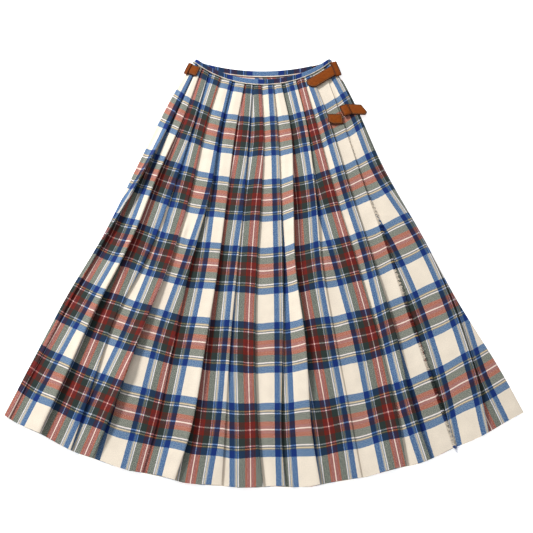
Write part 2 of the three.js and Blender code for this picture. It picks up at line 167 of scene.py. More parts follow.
PLEATS = (
    Pleat(AtRows(-158, -202, -256, -323, -386, -440, -475), TUCK_SIDE, AtRows(0, 2, 17, 9, 1, 0, 0),
          Stripe(AtRows(-159, -206, -262, -340, -410, -468, -504), -33.25)),
    Pleat(AtRows(-148, -183, -231, -276, -334, -382, -413), TUCK_AT_SIDE, AtRows(0, 1, 9, 11, 11, 10, 9),
          Stripe(AtRows(-159, -203, -247, -290, -352, -411, -448), 33.25)),
    Pleat(AtRows(-132, -159, -194, -237, -297, -331, -355), TUCK_DEEP, AtRows(0, 1, 1, 2, 2, 2, 3),
          Stripe(AtRows(-149, -181, -228, -270, -316, -362, -394), 0)),
    Pleat(AtRows(-104, -134, -159, -192, -239, -280, -312), TUCK_DEEP, AtRows(0, 1, 2, 4, 10, 11, 6),
          Stripe(AtRows(-98, -128, -157, -192, -239, -294, -328), 0)),
    Pleat(AtRows(-78, -101, -119, -151, -177, -200, -222), TUCK_FADING, AtRows(0, 1, 5, 4, 1, 0, 0),
          Stripe(AtRows(-79, -102, -125, -165, -209, -238, -258), -33.25)),
    Pleat(AtRows(-50, -69, -83, -97, -116, -136, -163), TUCK_DEEP, AtRows(0, 1, 2, 6, 9, 9, 6),
          Stripe(AtRows(-75, -98, -110, -124, -148, -172, -191), 33.25)),
    Pleat(AtRows(-31, -39, -47, -59, -70, -76, -80), TUCK_FADING, AtRows(0, 1, 1, 1, 1, 1, 1),
          Stripe(AtRows(-22, -30, -50, -68, -80, -90, -103), 33.25)),
    Pleat(AtRows(-12, -7, -11, -19, -22, -16, -6), TUCK_DEEP, LIFT_LOW,
          Stripe(AtRows(-9, -6, -21, -31, -35, -30, -28), 0)),
    Pleat(AtRows(15, 25, 29, 34, 31, 27, 33), TUCK_DEEP, AtRows(0, 1, 2, 2, 2, 2, 3),
          Stripe(AtRows(8, 14, 17, 19, 20, 20, 22), -33.25)),
    Pleat(AtRows(33, 54, 56, 58, 75, 82, 95), TUCK_DEEP, AtRows(0, 2, 11, 13, 11, 5, 7),
          Stripe(AtRows(10, 20, 26, 36, 43, 48, 53), 33.25)),
    Pleat(AtRows(66, 90, 103, 112, 133, 156, 170), TUCK_FADING, AtRows(0, 1, 5, 2, 0, 0, 0),
          Stripe(AtRows(55, 79, 96, 104, 125, 147, 158), 33.25)),
    Pleat(AtRows(83, 111, 142, 179, 214, 240, 251), TUCK_DEEP, AtRows(0, 1, 1, 2, 2, 3, 4),
          Stripe(AtRows(77, 103, 134, 169, 202, 225, 240), 0)),
    Pleat(AtRows(102, 139, 174, 211, 246, 269, 295), TUCK_DEEP, AtRows(0, 1, 2, 2, 6, 7, 5),
          Stripe(AtRows(93, 127, 161, 198, 226, 253, 277), -33.25)),
)
FREE_STRIPE = Stripe(AtRows(97, 134, 168, 206, 243, 278, 299), 33.25)
UNDER_STRIPE = Stripe(AtRows(138, 186, 233, 303, 352, 384, 397), 82.75)
BACK_STRIPE = Stripe(AtRows(166, 215, 261, 326, 380, 413, 444), 33.25)


@dataclass(frozen=True)
class Crease:
    """A soft ridge or trough along a line, with the distance down given from the waist seam."""

    start: tuple[float, float]
    end: tuple[float, float]
    width: float
    height: float

    def at(self, x: Array, down: Array) -> Array:
        """Height times a bell curve of the distance to the line, whose ends fade out.

        Args:
            x: Points across the skirt.
            down: Their distances down.

        Returns:
            Heights in millimetres.
        """
        run_x, run_down = self.end[0] - self.start[0], self.end[1] - self.start[1]
        reach = run_x * run_x + run_down * run_down
        t = np.clip(((x - self.start[0]) * run_x + (down - self.start[1]) * run_down) / reach, 0, 1)
        away = np.hypot(x - self.start[0] - t * run_x, down - self.start[1] - t * run_down)
        return self.height * np.exp(-((away / self.width) ** 2)) * (0.35 + 0.65 * np.sin(math.pi * t))


CREASES = (
    Crease((-163, 368), (-176, 424), 4, 3.0),
    Crease((-195, 240), (-182, 317), 5, 2.6),
    Crease((-212, 350), (-219, 428), 5, 2.4),
    Crease((-228, 338), (-174, 390), 6, 2.2),
    Crease((146, 44), (157, 106), 3.5, 1.6),
    Crease((113, 410), (129, 484), 5, 2.6),
    Crease((255, 752), (271, 802), 5, 2.6),
    Crease((-110, 236), (-94, 335), 4, -1.6),
    Crease((-36, 584), (-58, 686), 6, 2.2),
    Crease((-62, 480), (-92, 640), 12, 2.2),
    Crease((150, 520), (172, 700), 12, 2.2),
    Crease((-262, 420), (-300, 560), 9, 2.6),
    Crease((-252, 680), (-276, 738), 6, 2.2),
    Crease((174, 428), (145, 540), 6, 1.8),
    Crease((205, 430), (232, 560), 9, 1.8),
)


def smooth(t: Array) -> Array:
    """Ease from 0 to 1: t squared times (3 minus 2 t), with t held between 0 and 1."""
    held = np.clip(t, 0, 1)
    return held * held * (3 - 2 * held)


def unit(vectors: Array) -> Array:
    """Vectors divided by their lengths."""
    return vectors / np.maximum(np.linalg.norm(vectors, axis=-1, keepdims=True), SMALLEST)


def arc_length(x: Array | float, radius: Array) -> Array:
    """Length along a row's arc from its lowest point: radius times the arcsine of x over radius."""
    return radius * np.arcsin(np.clip((x - ARC_CENTRE_X) / radius, -0.999, 0.999))


def arc_y(x: Array, down: Array, radius: Array) -> Array:
    """Place up the floor of a point of a row, which is an arc that is lowest at the centre line."""
    across = x - ARC_CENTRE_X
    return -down + radius - np.sqrt(radius * radius - across * across)


def hem_wave(x: Array, down: Array) -> Array:
    """Two slow sines across the skirt that move the cloth up and down near the hem alone."""
    near = smooth((down - HEM_START) / (FRONT_LENGTH - HEM_START))
    return near * (1.5 * np.sin(x / 17.0 + 0.6) + 1.1 * np.sin(x / 31.0 + 2.0))


def ripple(x: Array, down: Array) -> Array:
    """Height of the soft unevenness that all layers share: slow sines below the hip, and creases.

    Args:
        x: Points across the skirt.
        down: Their distances down.

    Returns:
        Heights in millimetres, none below 0.
    """
    broad = 0.55 * np.sin(x / 37 + down / 61) * np.sin(down / 83 - x / 140)
    fine = 0.3 * np.sin(x / 9.5 + 1.3 * np.sin(down / 47)) * np.sin(down / 29 + x / 33)
    marks = sum(crease.at(x, down) for crease in CREASES)
    return np.maximum(smooth(down / 160) * (0.9 + broad + fine) + marks, 0)


def lifted(x: Array, z: Array, down: Array) -> Array:
    """Height of a layer with the ripple added: none on the floor, and all of it three layers up."""
    return z + ripple(x, down) * np.clip((z - Level.BACK.value) / RIPPLE_ROOM, 0, 1)


def drift(x: Array, down: Array) -> Array:
    """How far the weft wanders off its row where it was laid by hand: slow sines below the waist."""
    slow = 1.3 * np.sin(x / 29 + 1) * np.sin(down / 110) + 0.8 * np.sin(x / 12 + down / 90)
    return smooth(down / 120) * slow


def frame_shift() -> Array:
    """Millimetres from the skirt's own origin to the frame's, from where the frame has the hip buckle."""
    return np.mean(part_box("hip_buckle"), axis=0)[:2] * 1000 - HIP_BUCKLE_PLACE


SHIFT_X, SHIFT_Y = frame_shift()


def metres(x: Array, y: Array, z: Array) -> Array:
    """Points in metres, one a row, from millimetres across, up to the waist and above the floor."""
    return np.stack(np.broadcast_arrays(x + SHIFT_X, y + SHIFT_Y, z), axis=-1).reshape(-1, 3) / 1000


def linked(name: str, data: bpy.types.ID) -> Piece:
    """A new object of the given data, in the scene."""
    thing = bpy.data.objects.new(name, data)
    bpy.context.scene.collection.objects.link(thing)
    return thing


def new_object(name: str, points: Array, faces: list[Array], **attributes: Array) -> Piece:
    """Puts points and faces into a new mesh object.

    Args:
        name: Name of the piece.
        points: Corners in metres, one a row.
        faces: Arrays of faces, each array with faces of one number of corners.
        attributes: Values for each corner, one number or a row of three.

    Returns:
        The object, linked to the scene and smooth up to its sharp edges.
    """
    mesh = bpy.data.meshes.new(name)
    mesh.from_pydata(points.tolist(), [], [row for group in faces for row in group.tolist()])
    for title, values in attributes.items():
        kind, slot = ("FLOAT_VECTOR", "vector") if values.ndim > 1 else ("FLOAT", "value")
        layer = mesh.attributes.new(title, kind, "POINT")
        layer.data.foreach_set(slot, np.ascontiguousarray(values, dtype=np.float32).ravel())
    mesh.polygons.foreach_set("use_smooth", np.ones(len(mesh.polygons), dtype=bool))
    mesh.set_sharp_from_angle(angle=SHARP_ANGLE)
    mesh.update()
    return linked(name, mesh)


def grid_faces(rows: int, columns: int, looped: bool = False) -> Array:
    """Quads between the neighbouring points of a grid that closes round its columns.

    Args:
        rows: Rows of points.
        columns: Points in a row.
        looped: Whether the last row joins the first too.

    Returns:
        Four corners a row.
    """
    row = np.arange(rows if looped else rows - 1)[:, None]
    column = np.arange(columns)[None, :]
    below, after = (row + 1) % rows, (column + 1) % columns
    corners = (row * columns + column, below * columns + column,
               below * columns + after, row * columns + after)
    return np.stack(corners, axis=-1).reshape(-1, 4)


def tube_faces(count: int, steps: int, sides: int, turned: bool) -> list[Array]:
    """Faces of several closed tubes that have the same number of points.

    Args:
        count: Number of tubes.
        steps: Rings of each tube.
        sides: Points of each ring.
        turned: Whether each face's corners run the other way.

    Returns:
        The sides' faces and the ends' faces.
    """
    ring = np.arange(sides)
    walls = grid_faces(steps, sides)
    ends = np.array([ring[::-1], ring + (steps - 1) * sides])
    base = (np.arange(count) * steps * sides)[:, None, None]
    way = -1 if turned else 1
    return [(faces[None, :, ::way] + base).reshape(-1, faces.shape[1]) for faces in (walls, ends)]


FOLD_ROLL = (60, 30, 0, -30, -60, -90)


@dataclass
class Section:
    """Columns of a cloth's section from one edge to the other, each column an array over the rows."""

    down: Array
    x: list[Array] = field(default_factory=list)
    z: list[Array] = field(default_factory=list)
    warp: list[Array | None] = field(default_factory=list)

    def add(self, x: Array | float, z: Array | float, warp: Array | None = None) -> None:
        """Adds a column, whose warp distance may be left to be filled in."""
        self.x.append(np.broadcast_to(x, self.down.shape).astype(float))
        self.z.append(np.broadcast_to(z, self.down.shape).astype(float))
        self.warp.append(warp)

    def run(self, start: Array, end: Array, shares: Iterable[float], height: Array | float | OfX,
            warp: OfX | None = None) -> None:
        """Adds columns at shares of the way between two lines.

        Args:
            start: Where the way starts.
            end: Where it ends.
            shares: Shares of the way.
            height: The columns' height, or a function of x for it.
            warp: Their warp distance as a function of x, if it is known.
        """
        for share in shares:
            x = start + share * (end - start)
            self.add(x, height(x) if callable(height) else height, warp(x) if warp else None)

    def roll(self, centre: Array, reach: Array | float, middle: Array | float, half: Array | float,
             degrees: tuple[float, ...], warp: OfX | None = None) -> None:
        """Adds columns round an ellipse, where the cloth turns over.

        Args:
            centre: Its centre across the skirt.
            reach: Its half width, below 0 to turn at the left.
            middle: Height of its centre.
            half: Half its height.
            degrees: Angles of the columns.
            warp: The warp distance as a function of x, used from the top to half way round.
        """
        for degree in degrees:
            angle = math.radians(degree)
            x = centre + reach * math.cos(angle)
            self.add(x, middle + half * math.sin(angle), warp(x) if warp and degree >= 0 else None)

    def stacked(self) -> tuple[Array, Array]:
        """Places across and heights of all columns, rows by columns."""
        return np.stack(self.x, axis=1), np.stack(self.z, axis=1)

    def filled_warp(self) -> Array:
        """Warp distances of all columns, with unknown ones shared out along the line between known ones.

        Returns:
            Distances, rows by columns.
        """
        x, z = self.stacked()
        steps = np.hypot(np.diff(x, axis=1), np.diff(z, axis=1))
        path = np.concatenate([np.zeros((len(x), 1)), np.cumsum(steps, axis=1)], axis=1)
        known = [k for k, values in enumerate(self.warp) if values is not None]
        warp = np.zeros_like(x)
        for k in known:
            warp[:, k] = self.warp[k]
        for a, b in zip(known, known[1:]):
            share = (path[:, a + 1:b] - path[:, a:a + 1]) / (path[:, b:b + 1] - path[:, a:a + 1])
            warp[:, a + 1:b] = warp[:, a:a + 1] + share * (warp[:, b:b + 1] - warp[:, a:a + 1])
        first, last = known[0], known[-1]
        warp[:, :first] = warp[:, first:first + 1] - (path[:, first:first + 1] - path[:, :first])
        warp[:, last + 1:] = warp[:, last:last + 1] + (path[:, last + 1:] - path[:, last:last + 1])
        return warp


def both_sides(x: Array, z: Array, thickness: Array | float) -> tuple[Array, Array, Array, Array]:
    """Lines half a wall to each side of a section, along the mean normal of the two steps at a point.

    Args:
        x: Section points across the skirt, rows by columns.
        z: Their heights.
        thickness: The wall.

    Returns:
        x and z of the outer side, then x and z of the inner side.
    """
    step_x, step_z = np.diff(x, axis=1), np.diff(z, axis=1)
    normals = np.stack([-step_z, step_x]) / np.maximum(np.hypot(step_x, step_z), SMALLEST)
    before = np.concatenate([normals[..., :1], normals], axis=-1)
    after = np.concatenate([normals, normals[..., -1:]], axis=-1)
    middle = before + after
    middle = middle / np.maximum(np.hypot(*middle), SMALLEST)
    facing = np.maximum((middle * after).sum(axis=0), 0.7)
    reach_x, reach_z = middle * (thickness / 2 / facing)
    return x + reach_x, z + reach_z, x - reach_x, z - reach_z


@dataclass
class ClothWall:
    """A closed wall of cloth round the middle lines of its sections, whose rows lie on arcs."""

    name: str
    down: Array
    radius: Array
    x: Array
    z: Array
    warp: Array
    weft: Array
    thickness: Array | float = WALL
    bare: Array | float = 0.0

    def y_at(self, x: Array) -> Array:
        """Place up the floor of points of the rows, on their arcs and with the hem's wave."""
        return arc_y(x, self.down, self.radius) + hem_wave(x, self.down)

    def build(self) -> Piece:
        """Makes the wall: the outer side, the inner side backwards, and a strip of faces at each end.

        Returns:
            The piece, with the weave's warp and weft distances as its attribute.
        """
        upper_x, upper_z, lower_x, lower_z = both_sides(self.x, self.z, self.thickness)
        x = np.concatenate([upper_x, lower_x[:, ::-1]], axis=1)
        z = np.maximum(np.concatenate([upper_z, lower_z[:, ::-1]], axis=1), 0)
        yarns = [np.broadcast_to(yarn, self.x.shape) for yarn in (self.warp, self.weft, self.bare)]
        weave = np.stack([np.concatenate([yarn, yarn[:, ::-1]], axis=1) for yarn in yarns], axis=-1)
        rows, ring = x.shape
        k = np.arange(ring // 2 - 1)
        across = ring - 1 - k
        first = np.stack([k, k + 1, across - 1, across], axis=-1)
        last = np.stack([k, across, across - 1, k + 1], axis=-1) + (rows - 1) * ring
        faces = [grid_faces(rows, ring), first, last]
        return new_object(self.name, metres(x, self.y_at(x), z), faces, weave=weave.reshape(-1, 3))

    def flat_size(self) -> tuple[float, float, float]:
        """Size of the cloth if it were unfolded.

        Returns:
            The longest section and the length down the middle in metres, and the area in square
            metres: the mean section between two rows times the step between them, summed.
        """
        widths = np.hypot(np.diff(self.x, axis=1), np.diff(self.z, axis=1)).sum(axis=1)
        heights = self.y_at(self.x)[:, self.x.shape[1] // 2]
        area = ((widths[1:] + widths[:-1]) / 2 * np.abs(np.diff(heights))).sum() / 1e6
        return float((widths / 1000).max()), float(np.ptp(heights)) / 1000, float(area)


def front_wall(name: str, section: Section, thickness: float = WALL) -> ClothWall:
    """A wall from a section whose rows follow the front's arcs, with the shared ripple.

    Args:
        name: Name of the piece.
        section: Its columns.
        thickness: The wall.

    Returns:
        The wall.
    """
    down = section.down[:, None]
    x, z = section.stacked()
    weft = WEFT.at(down) + drift(x, down)
    z = lifted(x, z, down)
    return ClothWall(name, down, RADIUS.at(down), x, z, section.filled_warp(), weft, thickness)


@dataclass
class PleatedApron:
    """The over-apron: round the left side from under, through the folds, to the fringed free edge."""

    rows: int = 116
    top_columns: int = 11
    side_turn: float = 8.0
    side_gap: float = 4.5
    fold_gap: float = 1.5
    repeat: float = 116.0

    def pleat(self, section: Section, start: Array, low: float, pleat: Pleat, offset: float) -> None:
        """Adds one pleat: a climb to the fold edge, a roll, the run back under and the turn below.

        Args:
            section: Columns so far.
            start: Where the pleat's panel comes out from under the one before.
            low: Height of the cloth there.
            pleat: The pleat's tables.
            offset: Whole repeats that are added to the stripe's warp distance.
        """
        down = section.down
        fold, tuck, lift = pleat.fold.at(down), pleat.tuck.at(down), pleat.lift.at(down)
        turn = np.minimum(1, tuck / 3)
        climb_end = np.maximum(fold - tuck - 2, start + 0.4 * (fold - start))
        warp = pleat.stripe.over(down, offset)

        def top(x: Array) -> Array:
            """Height of the panel: an eased climb over the layer below, plus the lift times share squared."""
            share = (x - start) / (fold - start)
            climb = smooth((x - start) / (climb_end - start))
            return low + (Level.TOP.value - low) * climb + lift * share * share

        def under(x: Array) -> Array:
            """Height of the tuck: a line up from its inner turn, a layer or more below the panel."""
            line = Level.MIDDLE.value + 0.8 * lift * (x - fold + tuck) / tuck
            return np.minimum(line, top(x) - PITCH)

        outer, inner = fold - turn, fold - tuck + turn
        section.run(start, outer, np.linspace(0, 1, self.top_columns + 1)[1:], top, warp)
        high = top(outer)
        beneath = np.minimum(under(outer), high - PITCH)
        section.roll(outer, turn, (high + beneath) / 2, (high - beneath) / 2, FOLD_ROLL, warp)
        section.run(outer, inner, (0.35, 0.65), under)
        between = (Level.MIDDLE.value + Level.LOW.value) / 2
        section.roll(inner, -turn, between, PITCH / 2, (90, 45, 0, -45, -90))

    def wall(self) -> ClothWall:
        """The whole section, with each panel's stripes carried through its tuck by whole repeats.

        Returns:
            The over-apron's wall.
        """
        down = np.linspace(0, FRONT_LENGTH, self.rows)
        section = Section(down)
        left = LEFT_SIDE.at(down)
        for away, height in ((self.side_turn, 0.6), (4, 0.6), (2, 0.66), (0.7, 1.4), (0, 2.9),
                             (0.5, 4.0), (1.6, 4.6), (3, 5.0)):
            section.add(left + away, height)
        start, low, offset = left + self.side_gap, Level.MIDDLE.value, 0.0
        section.add(start, low, PLEATS[0].stripe.warp_at(start, down))
        stripes = [pleat.stripe for pleat in PLEATS[1:]] + [FREE_STRIPE]
        for pleat, stripe in zip(PLEATS, stripes):
            self.pleat(section, start, low, pleat, offset)
            fold, tuck = pleat.fold.at(down), pleat.tuck.at(down)
            edge = pleat.stripe.warp_at(fold, down) + offset
            gain = np.mean(2 * tuck) - np.mean(stripe.warp_at(fold, down) - edge)
            offset = self.repeat * math.ceil(gain / self.repeat)
            start, low = fold + self.fold_gap, Level.LOW.value
            for x in (fold - 0.35 * tuck, start):
                section.add(x, low, stripe.warp_at(x, down) + offset)
        edge, lift = APRON_EDGE.at(down), FREE_EDGE_LIFT.at(down)
        section.run(start, edge, np.linspace(0, 1, 8)[1:],
                    lambda x: low + lift * ((x - start) / (edge - start)) ** 1.5,
                    FREE_STRIPE.over(down, offset))
        return front_wall("over_apron_cloth", section)


def under_height(x: Array, down: Array) -> Array:
    """Height of the under-apron's upper layer: an eased climb over its tuck and a lift to its fold.

    Args:
        x: Points across the skirt.
        down: Their distances down.

    Returns:
        Heights in millimetres.
    """
    start = APRON_EDGE.at(down) + UnderApron.edge_gap
    fold = UNDER_FOLD.at(down)
    end = np.maximum(fold - UNDER_TUCK.at(down) - 2, start + 0.5 * (fold - start))
    share = np.clip((x - start) / (fold - start), 0, 1)
    climb = smooth((x - start) / (end - start))
    rise = Level.UNDER_TOP.value - Level.LAP.value
    return Level.LAP.value + rise * climb + UNDER_LIFT.at(down) * share * share


@dataclass
class UnderApron:
    """The cloth right of the over-apron's edge, with its hidden lap and the fold on its right."""

    rows: int = 116
    columns: int = 22
    edge_gap: float = 4.0

    def wall(self) -> ClothWall:
        """Section from the hidden lap over the climb to the fold, round it and back beneath.

        Returns:
            The under-apron's wall.
        """
        down = np.linspace(0, FRONT_LENGTH, self.rows)
        section = Section(down)
        apron, fold, tuck = APRON_EDGE.at(down), UNDER_FOLD.at(down), UNDER_TUCK.at(down)
        start, turn, warp = apron + self.edge_gap, fold - 1, UNDER_STRIPE.over(down)
        section.run(apron - UNDER_LAP.at(down), start, np.linspace(0, 1, 7), Level.LAP.value, warp)
        shares = np.linspace(0, 1, self.columns + 1)[1:]
        section.run(start, turn, shares, partial(under_height, down=down), warp)
        top = under_height(turn, down)
        under = Level.LOW.value + 0.8 * UNDER_LIFT.at(down)
        section.roll(turn, 1, (top + under) / 2, (top - under) / 2, FOLD_ROLL)
        for share in (0.5, 1.0):
            section.add(turn - share * (tuck - 1), under + share * (Level.LOW.value - under))
        return front_wall("under_apron_cloth", section)


@dataclass
class BackPanel:
    """The back, flat on the floor, whose right side is folded over to the front."""

    rise: float = 41.0
    waist_radius: float = 420.0
    waist_left: float = -160.0
    waist_right: float = 142.0
    waist_cover: float = 4.0
    waist_weft: float = -139.0
    blend_end: float = 60.0
    side_seam: float = 8.3
    waist_rows: int = 14
    rows: int = 110

    def wall(self) -> ClothWall:
        """Section from the folded-over edge round the right side and flat to the left side's seam.

        Returns:
            The back panel's wall.
        """
        waist = np.linspace(-self.rise, self.blend_end, self.waist_rows)[:-1]
        down = np.append(waist, np.linspace(self.blend_end, FRONT_LENGTH, self.rows - len(waist)))
        share = np.clip((down + self.rise) / (self.blend_end + self.rise), 0, 1)
        held = np.maximum(down, self.blend_end)

        def blended(at_waist: float, below: Array) -> Array:
            """A length that goes from its value at the back's waist to the one below."""
            return (1 - share) * at_waist + share * below

        left = blended(self.waist_left, LEFT_SIDE.at(held))
        right = blended(self.waist_right, RIGHT_SIDE.at(held))
        cover = blended(self.waist_cover, RIGHT_SIDE.at(held) - UNDER_FOLD.at(held) + SIDE_COVER.at(held))
        radius = 1 / blended(1 / self.waist_radius, 1 / RADIUS.at(held))[:, None]
        section = Section(down)
        turn = right - 2
        section.run(right - cover, turn, np.linspace(0, 1, 9), Level.LAP.value, BACK_STRIPE.over(held))
        section.roll(turn, 2, 1.35, 0.75, FOLD_ROLL[:-1])
        section.run(turn, left + self.side_seam, np.linspace(0, 1, 30), Level.BACK.value)
        x, z = section.stacked()
        weft = np.where(down < 0, self.waist_weft + down, WEFT.at(down))[:, None]
        down = down[:, None]
        return ClothWall("back_panel_cloth", down, radius, x, lifted(x, z, down), section.filled_warp(),
                         weft, FLAT_WALL)


@dataclass
class Waistbands:
    """The front band along the waist seam, and the back band that shows in the opening."""

    height: float = 16.0
    front_radius: float = 227.0
    back_rise: float = 41.0
    back_radius: float = 420.0
    white_line_front: float = 31.6
    white_line_back: float = -82.0
    blue_edge: float = 2.6
    blue_start: float = 38.0
    blue_stretch: float = 9.5 / 13.4
    cream_share: float = 0.85

    def band(self, name: str, section: Section, up: Array, radius: Array | float, white_line: float,
             thickness: Array | float) -> ClothWall:
        """A band whose warp goes up it, from cream at its lower edge to blue, and whose weft goes along.

        Args:
            name: Name of the piece.
            section: Its columns.
            up: Distances of the rows up the band.
            radius: The rows' radius.
            white_line: Where a white line of the weft crosses the band.
            thickness: The wall.

        Returns:
            The wall.
        """
        x, z = section.stacked()
        radius = np.broadcast_to(radius, up.shape)[:, None]
        along = arc_length(x, radius) - arc_length(white_line, radius)
        warp = self.blue_start + (self.blue_edge - up[:, None]) * self.blue_stretch
        bare = -self.cream_share * smooth(self.blue_edge + 0.5 - up[:, None])
        return ClothWall(name, section.down[:, None], radius, x, z, warp, along, thickness, bare)

    def front(self) -> ClothWall:
        """Front band: a doubled strip that is thinner at its folded top, its ends bent down to the back.

        Returns:
            The band's wall.
        """
        share = np.array([0, 0.04, 0.12, 0.3, 0.5, 0.7, 0.82, 0.87, 0.91, 0.96, 1.0])
        thickness = np.array([0.9, 1.7, 2.2, 2.4, 2.45, 2.4, 2.3, 2.2, 2.1, 1.9, 1.5])[:, None]
        down = -self.height + share * (self.height - 0.6)
        left, right = -161 - 6 * share, 144 + 7 * share
        section = Section(down)
        bent = ((0, 2.4), (1.0, 3.4), (2.5, 4.4), (5.5, 5.1))
        for away, height in bent:
            section.add(left + away, height)
        section.run(left + 10, right - 10, np.linspace(0, 1, 84), Level.MIDDLE.value + 0.2)
        for away, height in bent[::-1]:
            section.add(right - away, height)
        radius = self.front_radius - 5 * share
        return self.band("front_waistband_cloth", section, -down, radius, self.white_line_front, thickness)

    def back(self) -> ClothWall:
        """Back band: a flat strip along the back's waist, its inside up.

        Returns:
            The band's wall.
        """
        down = -self.back_rise + self.height * np.array([0, 0.2, 0.4, 0.6, 0.78, 0.84, 0.9, 1.0])
        section = Section(down)
        section.run(-146.0, 104.0, np.linspace(0, 1, 60), Level.LAP.value)
        up = -down - self.back_rise + self.height
        line = self.white_line_back
        return self.band("back_waistband_cloth", section, up, self.back_radius, line, FLAT_WALL)


@dataclass
class Fringe:
    """The self-fringe of the apron's free edge: loose weft yarns on a narrow backing strip."""

    top: float = 150.0
    strip: float = 2.0
    strip_wall: float = 0.8
    spacing: float = 0.75
    length: float = 8.0
    grown_from: float = 310.0
    grown_over: float = 90.0
    yarn: float = 1.15
    cream_warp: float = 58.0
    bare: float = 0.8
    tuft: int = 12
    tuft_length: float = 12.0
    tuft_weft: float = 44.0
    sides: int = 4
    steps: int = 6
    seed: int = 11

    def build(self) -> Piece:
        """Yarns as tapered tubes that leave the edge, dip to the cloth below and sway a little.

        Returns:
            The fringe, with the weft distances of its yarns.
        """
        random = np.random.default_rng(self.seed)
        edge_roots = np.arange(self.top, FRONT_LENGTH - 1, self.spacing)
        roots = np.append(edge_roots, np.full(self.tuft, FRONT_LENGTH - 3))
        count = len(roots)
        in_tuft = np.arange(count) >= len(edge_roots)
        t = np.linspace(0, 1, self.steps)[None, :]
        clumps = 0.1 * np.sin(roots / 1.4 + 2 * np.sin(roots / 11))
        grown = 0.3 + 0.7 * smooth((roots - self.grown_from) / self.grown_over)
        reach = grown * (clumps + random.uniform(0.6, 0.95, count))
        reach = (np.where(in_tuft, self.tuft_length, self.length) * reach)[:, None]
        tufts = 1.3 * np.sin(roots / 1.9 + 3 * np.sin(roots / 17)) + random.normal(0, 0.7, count)
        tufts = np.where(in_tuft, random.uniform(2, 15, count), tufts)
        sway = tufts[:, None] * t ** 1.6
        curl = random.normal(0, 0.5, count)[:, None] * np.sin(math.pi * t)
        down = roots[:, None] + sway + curl
        edge = APRON_EDGE.at(roots)[:, None]
        x = edge - 0.6 + reach * t
        rest = lifted(x, under_height(x, down), down) + WALL / 2 + self.yarn / 2 + 0.1
        from_edge = Level.LOW.value + FREE_EDGE_LIFT.at(roots)[:, None] + ripple(edge, roots[:, None])
        loose = np.abs(random.normal(0, 0.5, count))[:, None] * t
        z = rest + (np.maximum(from_edge, rest) - rest) * (1 - 0.35 * smooth(t)) + loose
        y = arc_y(x, down, RADIUS.at(down)) + hem_wave(x, down)
        width = (self.yarn / 2 * (1 - 0.45 * t ** 3) * np.ones((count, 1)))[..., None]
        angles = (np.arange(self.sides) + 0.5) * 2 * math.pi / self.sides
        ring_y = y[..., None] + width * np.cos(angles)
        points = metres(x[..., None], ring_y, z[..., None] + width * np.sin(angles))
        weft = np.where(in_tuft, self.tuft_weft, WEFT.at(roots))
        weave = np.stack(np.broadcast_arrays(self.cream_warp, weft, self.bare), axis=-1)
        weave = np.repeat(weave, self.steps * self.sides, axis=0)
        faces = tube_faces(count, self.steps, self.sides, turned=True)
        return new_object("fringe_yarns", points, faces, weave=weave)

    def backing(self) -> ClothWall:
        """Narrow strip of woven cloth beneath the roots of the yarns.

        Returns:
            The strip's wall.
        """
        section = Section(np.linspace(self.top, FRONT_LENGTH, 96))
        down = section.down
        root = APRON_EDGE.at(down) + 0.4
        section.run(root, root + self.strip, (0, 0.5, 1),
                    lambda x: under_height(x, down) + WALL / 2 + 0.7, FREE_STRIPE.over(down))
        return front_wall("fringe_backing", section, self.strip_wall)


@dataclass(frozen=True)
class Leather:
    """A leather piece: its name, the node it stands for, and where and how turned it lies."""

    name: str
    node: str
    x: float
    y: float
    z: float
    turn: float

    def world(self, along: Array, across: Array, up: Array) -> tuple[Array, Array, Array]:
        """Turns and moves the piece's own points to where it lies."""
        cosine, sine = math.cos(math.radians(self.turn)), math.sin(math.radians(self.turn))
        return along * cosine - across * sine + self.x, along * sine + across * cosine + self.y, self.z + up


